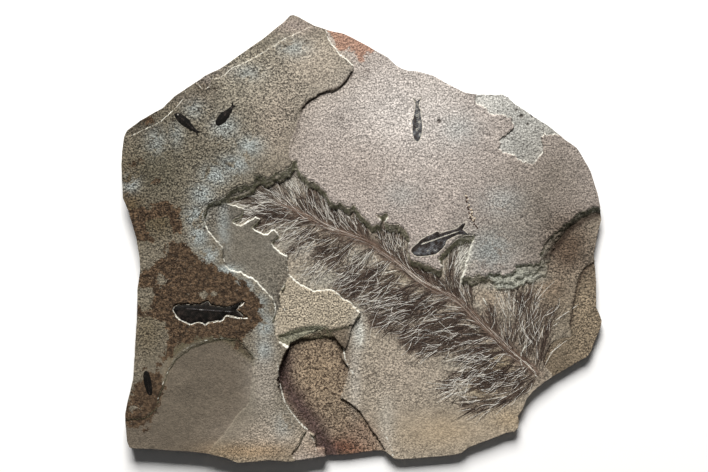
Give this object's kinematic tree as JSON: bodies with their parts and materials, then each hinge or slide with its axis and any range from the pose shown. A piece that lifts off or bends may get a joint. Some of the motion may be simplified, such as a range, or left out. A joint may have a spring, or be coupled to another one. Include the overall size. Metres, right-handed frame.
{
  "type": "fossil mural",
  "caption": "Irregular stepped limestone slab with a long feathery fossil frond, herring-like fish and a short run of backbone on its face.",
  "frame": {"origin": "centre of the slab's extent on its flat back face", "axes": "+Z out of the fossil face, +Y towards the picture's top, +X towards its right"},
  "size_m": [0.77, 0.717, 0.03],
  "materials": {
    "limestone": "matte split limestone, pinkish tan to grey-brown with dark brown stains",
    "frond": "matte dark brown carbon film with pale ridges",
    "stem": "matte reddish brown carbon film",
    "fish_bone": "satin black-brown bone and scales",
    "backbone": "satin brown bone"
  },
  "bodies": {
    "root": {"stone_slab": "limestone", "frond_stem": "stem", "frond_branch_01": "frond", "frond_branch_02": "frond", "frond_branch_03": "frond", "frond_branch_04": "frond", "frond_branch_05": "frond", "frond_branch_06": "frond", "frond_branch_07": "frond", "frond_branch_08": "frond", "frond_branch_09": "frond", "frond_branch_10": "frond", "frond_branch_11": "frond", "frond_branch_12": "frond", "frond_branch_13": "frond", "frond_branch_14": "frond", "frond_branch_15": "frond", "frond_branch_16": "frond", "frond_branch_17": "frond", "frond_branch_18": "frond", "frond_branch_19": "frond", "frond_branch_20": "frond", "frond_branch_21": "frond", "frond_branch_22": "frond", "frond_branch_23": "frond", "frond_branch_24": "frond", "frond_branch_25": "frond", "frond_branch_26": "frond", "frond_branch_27": "frond", "frond_branch_28": "frond", "frond_branch_29": "frond", "frond_branch_30": "frond", "frond_branch_31": "frond", "frond_branch_32": "frond", "frond_branch_33": "frond", "frond_branch_34": "frond", "frond_branch_35": "frond", "frond_branch_36": "frond", "frond_branch_37": "frond", "frond_branch_38": "frond", "fish_left": "fish_bone", "fish_by_frond": "fish_bone", "fish_top": "fish_bone", "fish_small_upper_a": "fish_bone", "fish_small_upper_b": "fish_bone", "fish_small_lower": "fish_bone", "backbone_fragment": "backbone"}
  },
  "joints": []
}
